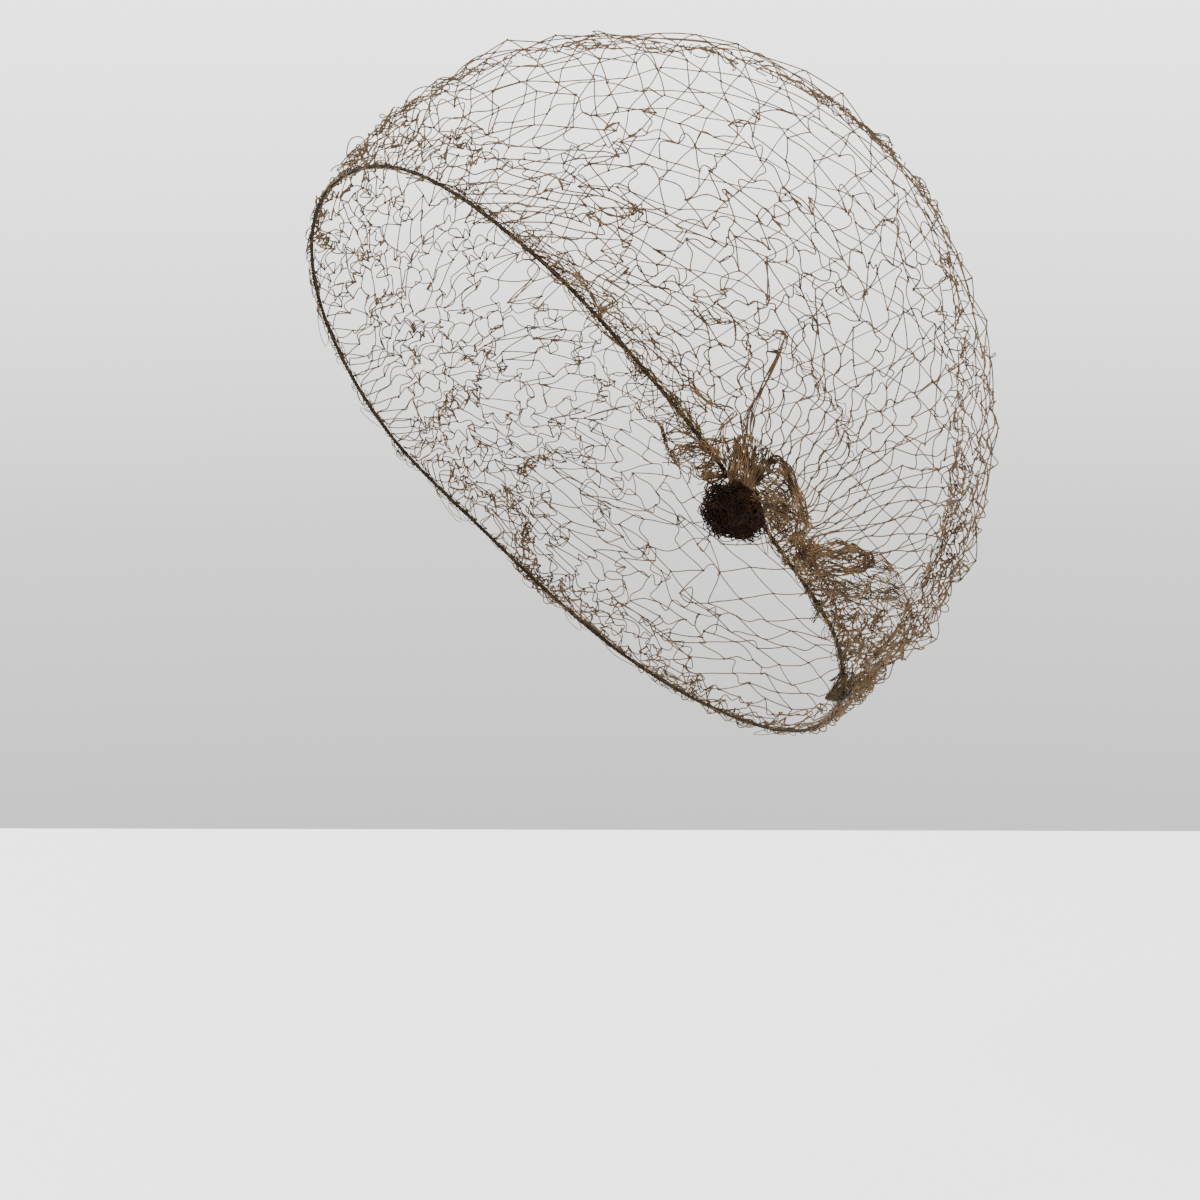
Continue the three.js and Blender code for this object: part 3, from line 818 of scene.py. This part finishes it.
def wanderers(middle, reach, lift, count, length, heading, bend, steps, seed):
    """Loose threads that curl about inside an oval of the net, between two heights."""
    rng = seeded(seed)
    angle = rng.uniform(0, TURN, count)
    far = np.sqrt(rng.uniform(0, 1, count))
    start = middle + far[:, None] * reach * np.stack([np.cos(angle), np.sin(angle)], -1)
    way = radians(heading) + rng.normal(0, 0.5, count) + pi * rng.integers(0, 2, count)
    turning = bend * waver(rng, count, steps, (1, 2, 4)) + way[:, None]
    stride = (length * rng.uniform(0.6, 1.3, count) / steps)[:, None]
    moved = np.stack([np.cos(turning), np.sin(turning)], -1) * stride[..., None]
    path = np.cumsum(moved, axis=1)
    path += (start - path.mean(1))[:, None]
    low, high = lift
    lifts = (low + high) / 2 + (high - low) * 0.4 * waver(rng, count, steps)
    return np.concatenate([path, np.clip(lifts, low * 0.8, high * 1.2)[..., None]], -1)


# The knot's ball: its middle, how far it reaches at each angle round it, and its half height.
BALL_BACK, BALL_INWARD, BALL_LIFT, BALL_HEIGHT = -1.5, -4.8, 6.2, 4.3
BALL_SHAPE = (
    [-180, -151, -131, -115, -96, -67, -34, -5, 13, 28, 42, 67, 96, 125, 148, 180],
    [7.4, 7.2, 6.9, 6.6, 6.3, 5.9, 5.6, 6.9, 8, 7.9, 7, 6.1, 6, 6.7, 7.2, 7.4],
)


def ball_point(angle, rise, swell=1.0):
    """A place on the knot's ball: an angle round it and a rise from its edge to its top."""
    reach = np.interp(np.degrees(angle), *BALL_SHAPE, period=360)
    back = BALL_BACK + reach * swell * np.cos(angle) * np.cos(rise)
    inward = BALL_INWARD + reach * swell * np.sin(angle) * np.cos(rise)
    lift = BALL_LIFT + BALL_HEIGHT * swell * np.sin(rise)
    return np.stack(np.broadcast_arrays(back, inward, lift), -1)


def broad_lumps(places):
    return 0.09 * Ripple(5.0, 61)(places)


def ball_heart():
    """The ball's dark heart, a lumpy closed body."""
    count, around = 22, 36
    rise = np.linspace(-pi / 2, pi / 2, count)[:, None]
    angle = np.linspace(0, TURN, around, endpoint=False)[None]
    smooth = ball_point(angle, rise)
    points = ball_point(angle, rise, 0.82 + broad_lumps(smooth) + 0.03 * Ripple(1.6, 62)(smooth))
    inner = points[1:-1].reshape(-1, 3)
    flat = np.concatenate([inner, points[:1].mean(1), points[-1:].mean(1)])
    row = np.arange(count - 3)[:, None] * around
    here = np.arange(around)
    after = np.roll(here, -1)
    bottom, last = len(inner), (count - 3) * around
    under = np.stack([np.full(around, bottom), after, here], -1)
    over = np.stack([np.full(around, bottom + 1), last + here, last + after], -1)
    return charted(flat[None])[0], faces_between(row, row + around, around), np.concatenate([under, over])


def ball_wraps(count, sweep, wild, seed, steps=20):
    """Threads wound over the ball: how far each goes round it, and how much it strays sideways."""
    rng = seeded(seed)
    u = np.linspace(-1, 1, steps)[None]
    start = unit(rng.normal(size=(count, 3)) + np.array([0, 0, 0.6]))
    way = unit(np.cross(start, rng.normal(size=(count, 3))))
    angle = rng.uniform(*sweep, (count, 1)) * u
    path = start[:, None] * np.cos(angle)[..., None] + way[:, None] * np.sin(angle)[..., None]
    third = np.cross(start, way)
    path = unit(path + third[:, None] * (wild * waver(rng, count, steps, (2, 3, 5, 8)))[..., None])
    angle, rise = np.arctan2(path[..., 1], path[..., 0]), np.arcsin(path[..., 2])
    swell = 0.88 + broad_lumps(ball_point(angle, rise))
    swell += 0.07 * np.abs(waver(rng, count, steps, (2, 3, 5))) + rng.uniform(0, 0.08, (count, 1))
    curves = ball_point(angle, rise, swell)
    curves[..., 2] = np.maximum(curves[..., 2], 1.2)
    return curves


def ball_fringe(count, seed, steps=16):
    """Curls and stray ends round the ball's outer side."""
    rng = seeded(seed)
    column = (count, 1)
    u = np.linspace(0, 1, steps)[None]
    angle = np.radians(rng.uniform(-190, 5, column))
    rise = rng.uniform(-1.1, 0.7, column)
    stray = rng.uniform(size=column) < 0.22
    height = np.where(stray, rng.uniform(1.6, 4.6, column), rng.uniform(0.8, 2.6, column))
    along = np.where(stray, rng.normal(0, 0.25, column), rng.normal(0, 0.50, column))
    out = np.where(stray, u * (1.1 - 0.3 * u), np.sin(pi * u) ** 0.8)
    bent = angle + along * u + (0.12 + 0.10 * stray) * waver(rng, count, steps, (2, 3, 5)) * out
    curves = ball_point(bent, rise + 0.25 * waver(rng, count, steps) * out, 0.94 + height * out / 7)
    curves[..., 2] = np.maximum(curves[..., 2], 0.9)
    return curves


def knot_threads():
    """Long threads wound round the ball, short curls on it, and its fringe."""
    return [
        ball_wraps(95, sweep=(0.7, 2.2), wild=0.30, seed=64),
        ball_wraps(130, sweep=(0.15, 0.45), wild=0.40, seed=63),
        ball_fringe(190, seed=65),
    ]


LIP_OUTER = [(-4.9, 5.9, 4.6), (-4.1, 8.6, 4.4), (-2.8, 11.3, 4.2), (0, 11.9, 4.2), (3.9, 11.3, 4.4),
    (7.9, 10.5, 4.4), (12, 9.6, 4.2), (15.1, 8.6, 4), (17, 6.6, 3.6), (17.2, 4.2, 3.2)]
LIP_INNER = [(-4.3, 5.2, 5.2), (-2.6, 7.2, 5), (-0.7, 9, 5), (2.6, 9.6, 5), (6.3, 9.2, 5), (10, 8.3, 4.8),
    (13, 7.2, 4.4), (15, 5.3, 4)]
STREAMS = [
    [(-5.1, 2.1, 7), (-1.6, 2.6, 7.4), (1.8, 4, 6.6), (5.2, 6.1, 5.6), (9.3, 7.5, 4.8)],
    [(-5.7, 3.4, 6.2), (-2.2, 4.6, 6.2), (0.6, 6.4, 5.6), (4.1, 8.2, 5.2), (7.8, 8.9, 4.8), (11.5, 8.6, 4.4)],
    [(-2, 1.5, 8), (2.5, 2.6, 6.6), (6.5, 4.2, 5.2), (10.5, 5.6, 4.4), (14.5, 6.2, 3.8)],
    [(0.9, 1.3, 5.6), (4.1, 1.6, 4.6), (7.9, 1, 3.8), (11.9, 1, 3), (16.2, 1.1, 2.4)],
    [(-3.4, -0.8, 9.2), (-0.8, 0.6, 8.4), (1.8, 2.2, 7), (5.2, 4.2, 5.6), (9, 5.6, 4.8)],
    [(-7.8, -1.8, 6.6), (-9, 0.2, 4.8), (-10.8, 2.4, 3.6), (-13, 4.2, 2.6)],
    [(-4.2, 1.2, 7.4), (-4.2, 4.2, 6), (-3.4, 7.4, 4.8), (-2.2, 10, 4.2)],
]
BRUSH_FOOT = [(-7.4, -2.6, 6.2), (-6.2, -1.4, 7), (-4.4, -0.6, 7.6), (-2.6, -0.2, 7.8)]
BRUSH_TIPS = [(-12.8, 6.2, 2.2), (-12.8, 7.6, 2.4), (-12.1, 8.8, 2.4), (-11, 9.8, 2.6), (-8.8, 10.8, 2.8),
              (-5.8, 11.4, 2.8)]
LEFT_FOOT = [(-14.8, -1, 1.6), (-10.6, 0.1, 2.6), (-7.5, 2.2, 4.2), (-4.8, 3.7, 5.4)]
LEFT_TOP = [(-17.4, -0.6, 1.4), (-16.6, 1.4, 1.6), (-14.6, 3.4, 2), (-13.3, 5.2, 2.2), (-12.1, 7.1, 2.4)]


def fan_threads():
    """The net's gathered end: a brush above the knot, and a lip that arches over behind it."""
    return [
        ribbon(LIP_OUTER, 15, [0.5, 0.8, 0.8, 0.7], 0.45, 7, 0.65, 30, 71),
        ribbon(LIP_INNER, 12, [0.5, 0.7, 0.7], 0.4, 6, 0.65, 26, 72),
        between(BRUSH_FOOT, BRUSH_TIPS, 30, 1, 0.6, 18, 73, scatter=0.16),
        looped(BRUSH_FOOT, BRUSH_TIPS, 20, 0.22, 0.8, (0.4, 1), 24, 74),
        looped(LEFT_FOOT, LEFT_TOP, 34, 0.16, 0.8, (0.35, 1.05), 24, 75),
        ribbon(LEFT_TOP, 7, [0.4, 0.6], 0.5, 5, 0.6, 18, 76),
        looped(LIP_INNER, LIP_OUTER, 26, 0.06, 0.5, (0.6, 1.7), 20, 77),
        wanderers((11.2, 4.2), (4, 2.8), (1.8, 4.6), 30, 9, 20, 3, 24, 78),
        wanderers((3, 5), (7, 3.6), (2.6, 5.8), 16, 9, 20, 2, 20, 79),
    ] + [
        ribbon(stream, 11, [0.9, 1.1, 1.7, 2.3], 0.45, 5, 0.7, 22, 30 + k)
        for k, stream in enumerate(STREAMS)
    ]


RING = [(22.6, 8.7, 4.4), (24.4, 11.9, 5), (28.8, 14.3, 5.4), (34.1, 16.5, 5.2), (37.1, 16.1, 5),
    (36.8, 13.5, 4.8), (33.9, 9.4, 4.6), (28.8, 4, 4.2), (21.2, 0.8, 3.2), (17.1, 1.1, 2.6)]
NECK = [(14, 5.3, 3.8), (18.5, 4.6, 3.8), (22.5, 5.2, 4), (27, 7.4, 4.2), (32, 10.4, 4.4), (36, 14.2, 4.6)]
SWATH = [(18, 1.6, 2.4), (26.7, 1.4, 3), (31.4, 3.1, 3.6), (36.7, 5.2, 3.8), (40.5, 8.3, 4), (43.3, 12.3, 4),
    (43.3, 16.4, 3.8)]
# Combed strands behind the fold: route, count, half widths, sway, wave and cover.
COMBS = [
    ([(33, 14.5, 4.6), (36.7, 17.4, 4.2), (40.6, 19, 4), (44.8, 20.3, 3.6), (47.7, 21.4, 3.2)],
     8, [0.8, 1.4, 1.2, 0.8], 0.25, 9, 0.8),
    ([(38, 12.5, 3.8), (44.9, 17.4, 3.6), (48.9, 18.9, 3.4), (53.2, 20.1, 3.2), (59, 22.9, 2.8)],
     14, [1.8, 2.8, 2.8, 2.2], 0.28, 6, 0.65),
    ([(48, 13, 3.2), (52.2, 15.6, 3.2), (55.1, 18.5, 3.2), (59.1, 20.3, 3.2), (63.3, 20.9, 2.8),
      (62.6, 18.5, 2.4)],
     13, [1.6, 2.2, 1.8, 1.2], 0.28, 5, 0.6),
    ([(52, 16, 2.8), (57.4, 14.7, 2.6), (58.2, 12.6, 2.6), (59.6, 10.4, 2.4), (63.8, 10.5, 2.2)],
     11, [0.8, 1.3, 0.9], 0.7, 4, 0.6),
    ([(70, 17, 2.4), (71.7, 14.6, 2.4), (72.9, 12.2, 2.4), (73.7, 9.4, 2.4), (72.9, 6.4, 2.2),
      (72.4, 3.4, 2)],
     11, [0.8, 1.3, 0.9], 0.7, 4, 0.6),
]


def fold_threads():
    """The folded-over net along the elastic behind the knot."""
    return [
        ribbon(RING, 15, [0.6, 0.7, 0.8, 1], 0.45, 6, 0.55, 30, 81),
        ribbon(NECK, 20, [1.6, 2.4, 2.8, 2.8, 2.2], 0.55, 6, 0.6, 26, 82),
        ribbon(SWATH, 17, [0.8, 1.6, 2.2, 2.4, 2.2, 1.4], 0.55, 6, 0.5, 26, 83),
        wanderers((33.5, 12.6), (3.4, 3), (3.4, 5), 14, 6, 30, 1.6, 18, 86),
        looped(RING[1:5], RING[:4:-1], 20, 0.12, 0.8, (0.3, 0.9), 22, 84),
        looped(NECK[:3], SWATH[:3], 20, 0.15, 0.9, (0.4, 1.2), 22, 85),
        wanderers((22, 4.6), (5, 3.6), (1.8, 4.4), 30, 9, 30, 3, 24, 87),
        wanderers((36, 3.6), (10, 2.8), (1.2, 3.2), 26, 9, 60, 2.2, 20, 88),
        wanderers((48, 8), (9, 6), (1.2, 3.4), 26, 10, 10, 2.2, 22, 89),
        wanderers((62, 9), (9, 8), (1, 3.2), 28, 10, 40, 2.4, 22, 90),
        wanderers((76, 9), (9, 8), (1, 3.4), 30, 9, 60, 2.4, 22, 91),
    ] + [ribbon(*row, 24, 66 + k) for k, row in enumerate(COMBS)]


TUCK = [(-9.6, 6.6, 3.8), (-13, 9.9, 3), (-15.4, 13.8, 2.8), (-16.7, 18, 2.8), (-18.1, 22.3, 2.8),
    (-20, 27.9, 3), (-21.8, 31.9, 2.8)]
TUCK_CAP = [(-26.8, 26, 2), (-23.8, 28.3, 2.4), (-23.6, 30.7, 2.6), (-21.7, 32.1, 2.8), (-19.7, 29.6, 2.6),
    (-21.4, 26.9, 2.2)]
FEEDER = [(-33.5, 3.6, 1.4), (-30.2, 5.3, 1.5), (-28.6, 6, 1.6), (-25.1, 6.2, 1.8), (-22, 7.2, 2),
    (-19.6, 9.3, 2.2), (-16.8, 10.4, 2.4)]
FEEDER_TURN = [(-17.1, 10.4, 2.4), (-17.1, 8.3, 2.4), (-16.9, 5.7, 2.4), (-15.6, 3.5, 2.4), (-13.6, 1.7, 2.6)]


def tuck_threads():
    """The pinched tuck that runs down to the knot, and the strands that join its foot."""
    return [
        ribbon(TUCK, 8, [2, 0.9, 0.45, 0.35, 0.32, 0.4], 0.28, 12, 0.8, 34, 95),
        ribbon(TUCK_CAP, 6, [0.4, 0.5], 0.45, 4, 0.6, 26, 96),
        ribbon(FEEDER, 7, [1.4, 0.9, 0.5, 0.5, 0.4], 0.35, 10, 0.65, 28, 97),
        ribbon(FEEDER_TURN, 6, [0.4, 0.7, 1.2], 0.35, 8, 0.75, 22, 98),
    ]


# Slack net that has crumpled into strings of small loops: route, count, half widths, sway, wave, cover.
CRUMPLES = [
    ([(-43, 15, 1.4), (-38.7, 17.4, 1.4), (-34.6, 21.1, 1.6), (-30.4, 24.9, 1.8), (-26.7, 26.4, 2),
      (-23.5, 28.5, 2.4)], 8, [0.9, 0.7, 0.4], 0.8, 4.5, 0.35),
    ([(-18.7, 30, 1.8), (-14.6, 31.6, 1.8), (-9.5, 32.3, 2), (-4.3, 32.6, 2), (0.2, 33.9, 2), (4.4, 33.7, 2),
      (5.3, 30.5, 1.8), (5.5, 24.7, 1.6)], 14, [0.7, 1.2, 1.4, 1.1], 1.1, 4.5, 0.25),
    ([(2, 31.5, 1.8), (9.4, 31.2, 1.8), (15.2, 29.4, 1.8), (21, 25, 1.6)], 7, [1, 1.4, 1], 1, 4.5, 0.4),
    ([(-30, 42, 1.8), (-26, 42.9, 1.8), (-21.5, 44.7, 1.8), (-14.8, 47.6, 1.6)],
     4, [0.5, 0.6, 0.4], 0.6, 5, 0.5),
    ([(-78, 3, 1.2), (-57.8, 2.6, 1.4), (-52.1, 3.2, 1.4), (-46.7, 4.4, 1.5), (-41, 5.2, 1.6),
      (-35.2, 5.4, 1.6), (-28, 6.4, 1.6)], 18, [1.4, 2.2, 2.8, 2.6, 1.6], 1.6, 13, 0.3),
]
# The band of small loops down the back, and the loops along the hem.
BACK_BAND = [(58, 53, -0.2), (67.6, 48.3, -0.8), (73.9, 45.2, -1.2), (76.5, 41, -1.4), (75.5, 36, -1.5),
    (76, 31.1, -1.5), (78.6, 27.7, -1.3), (83.2, 24.5, -0.9), (86, 20, -0.4), (90, 13, 0.5),
    (92, 7, 1)]
HEM = [(-84, 0.3, 1.2), (-50, 0.3, 1.2), (-18, 0.3, 1.2)]
HEM_TIPS = [(-84, 3, 1.2), (-60, 4.4, 1.4), (-44, 6.4, 1.5), (-24, 5.6, 1.6)]
# The line of small loops over the crown and round the back: turn and reach.
CROWN_LINE = [(-19, 92), (-17, 86), (-12, 74), (-1, 62.8), (8, 52.3), (16, 41), (29, 34), (38, 27), (54, 22),
              (74, 25), (88, 37), (98, 49), (107, 61), (115, 70)]


def crumpled_threads():
    """Strings of crumpled net, the band down the back, and loops along the hem."""
    groups = [looped(HEM, HEM_TIPS, 30, 0.07, 1.1, (0.3, 1.2), 24, 58)]
    for k, row in enumerate(CRUMPLES):
        groups.append(ribbon(*row, 26, 50 + k, rise=0.6))
    for k, (back, inward, lift) in enumerate(route_line(BACK_BAND, 15)):
        heights = (lift - 0.6, lift + 0.7)
        groups.append(wanderers((back, inward), (4.6, 3.4), heights, 8, 8, 40 + 23 * k, 2.6, 22, 130 + k))
    return groups


def crown_threads():
    """Small slack loops along the crown's line, each group laid out round a place on it."""
    rng = seeded(151)
    groups = []
    for k, (turn, reach) in enumerate(route_line(CROWN_LINE, 84)):
        back = radians(turn - KNOT_TURN) * KNOT_CIRCLE
        inward = radians(float(route_reach(turn)) - reach) * MEAN_RADIUS
        place = (back / MM + rng.normal(0, 2.5), inward / MM + rng.normal(0, 2.5), 0)
        loops = wanderers((0, 0), (4.4, 3.4), (1.4, 4.4), 2, 12, 360 * rng.uniform(), 1.7, 20, 160 + k)
        # The chart is wider than the head form away from the hem, so the loops are widened to match.
        loops[..., 0] /= sin(radians(reach))
        groups.append(loops + np.array(place))
    return groups


WEB_ROOT = [(-41, -0.4, 1.2), (-30, -0.4, 1.2), (-18, -0.4, 1.2), (-7, -0.6, 1.8)]
WEB_EDGE = [(-41, -1.6, 0.9), (-39.2, -3.5, 0.8), (-38, -5.8, 0.8), (-34.2, -6.2, 0.8), (-31.1, -6.7, 0.8),
    (-28.6, -5.6, 0.8), (-26.6, -5.2, 0.9), (-24.3, -6.5, 0.9), (-21, -7.5, 1), (-17.4, -7.9, 1),
    (-15, -6.4, 1.1), (-11.6, -6.3, 1.3), (-8.8, -5.3, 2)]


def web_threads():
    """The loose net that has slipped out past the elastic, in front of the knot."""
    return [
        ribbon(WEB_EDGE, 10, [0.25, 0.4], 0.4, 3.5, 0.28, 26, 101, rise=0.15),
        looped(WEB_ROOT, WEB_EDGE, 26, 0.13, 1, (0.4, 1.05), 28, 102, arch=0.2),
        looped(WEB_ROOT[2:], WEB_EDGE[7:], 20, 0.3, 1, (0.5, 1.1), 28, 103, arch=0.3),
        wanderers((-19, -6.2), (2.8, 1.8), (0.7, 1.8), 10, 7, 40, 2.8, 18, 104),
        wanderers((-12, -4.4), (4, 2.6), (0.9, 2.6), 18, 7, 20, 2.4, 18, 106),
    ]


BUNCH_TIP = [(76.4, -5.8, 1.5), (77.4, -6, 1.5), (78.6, -5.4, 1.5)]
BUNCH_FOOT = [(68.6, -1.9, 1.7), (72, 0.4, 2.2), (77, 1.6, 2.4), (82, 1, 2.2), (86.5, -0.8, 1.6)]
HOOK = [(76, 0.5, 2), (83, 1.8, 1.9), (88.9, 3.9, 1.6), (92, 3.6, 1.4)]
HAIR_FEET = [(39, 0.6, 1.6), (41.6, 0.4, 1.6), (69, -0.6, 1.8), (71, -0.6, 1.8)]
HAIR_TIPS = [(42.6, -4, 1.2), (45.4, -3.2, 1.2), (70.6, -4.4, 1), (72, -3.6, 1)]


def bunch_threads():
    """The small flat bunch towards the nape, and the hairs that stand across the elastic."""
    return [
        between(BUNCH_TIP, BUNCH_FOOT, 62, 0.35, 0.3, 14, 111, scatter=0.03),
        ribbon(BUNCH_FOOT, 26, [0.6, 1.4, 1.4, 0.8], 0.5, 5, 0.45, 16, 112, rise=0.3),
        ribbon(HOOK, 7, [1, 0.8, 0.5], 0.6, 5, 0.7, 18, 113, rise=0.3),
        between(HAIR_FEET[:2], HAIR_TIPS[:2], 7, 0.25, 0.2, 12, 114),
        between(HAIR_FEET[2:], HAIR_TIPS[2:], 6, 0.25, 0.2, 12, 115),
    ]


# Each piece: what lays it out, its threads' radius in millimetres, material, slot and the CAD model's node.
BUNCHES = {
    "knot_wraps": (knot_threads, 0.105, "winding", "knot", "side_knot"),
    "fan_threads": (fan_threads, 0.14, "gather", "gather", "knot_fan"),
    "fold_threads": (fold_threads, 0.14, "gather", "gather", "gathered_fold"),
    "tuck_threads": (tuck_threads, 0.14, "gather", "gather", "net_tuck"),
    "web_threads": (web_threads, 0.14, "gather", "gather", "knot_fan"),
    "net_loops": (crown_threads, 0.17, "net", "net", "net_cap"),
    "net_crumples": (crumpled_threads, 0.12, "gather", "net", "net_cap"),
    "bunch_threads": (bunch_threads, 0.11, "bunch", "gather", "nape_bunch"),
}


def make_bunches():
    add_piece("knot_core", [ball_heart()], "knot", "side_knot")
    for name, (laid_out, radius, material, slot, node) in BUNCHES.items():
        curves = [kept_off_head(charted(group), GATHERS_LEAST) for group in laid_out()]
        tubes = [thread_tubes(group, radius * MM) for group in curves]
        add_piece(name, tubes, material, node)


make_camera()
make_studio()
make_floor()
make_net()
make_elastic()
make_bunches()
